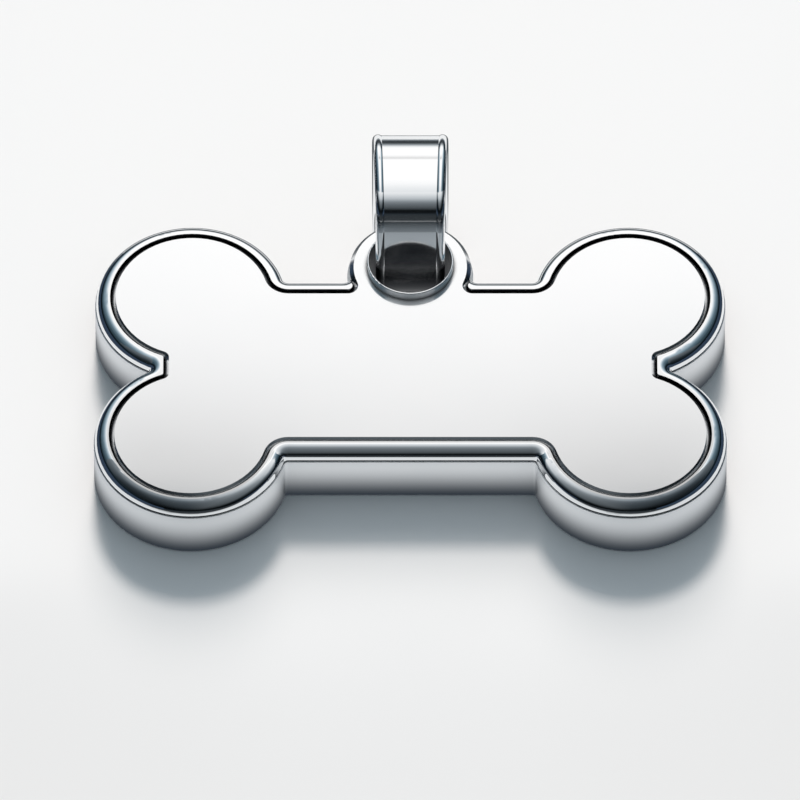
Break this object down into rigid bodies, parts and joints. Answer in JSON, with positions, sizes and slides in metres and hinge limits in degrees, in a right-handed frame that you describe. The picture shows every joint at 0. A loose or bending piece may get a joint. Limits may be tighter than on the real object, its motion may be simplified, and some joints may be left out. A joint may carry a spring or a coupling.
{
  "type": "pet id tag",
  "caption": "Bone-shaped polished metal pet tag with a rounded rim, a bare mirror face and a swinging strip bail in a flared eyelet.",
  "frame": {"origin": "centre of the bone on its flat back, which lies on the surface below", "axes": "+X along the bone, +Y towards the eyelet and the bail, +Z out of the face"},
  "size_m": [0.04, 0.0264, 0.0119],
  "materials": {
    "body_chrome": "polished",
    "rim_chrome": "polished",
    "face_mirror": "mirror polished",
    "adhesive_film": "matte",
    "eyelet_steel": "polished",
    "washer_steel": "satin",
    "bail_chrome": "polished",
    "wire_chrome": "polished"
  },
  "bodies": {
    "tag": {"tag_body": "body_chrome", "rim_bezel": "rim_chrome", "face_plate": "face_mirror", "bonding_film": "adhesive_film", "eyelet": "eyelet_steel", "eyelet_washer": "washer_steel"},
    "bail": {"bail_band": "bail_chrome", "bail_edge_wire_left": "wire_chrome", "bail_edge_wire_right": "wire_chrome"}
  },
  "joints": [
    {"name": "bail_swing", "type": "hinge", "parent": "tag", "child": "bail", "pos_m": [0, 0.01103, 0.00377], "axis": [1, 0, 0], "range_deg": [-90, 25]}
  ]
}
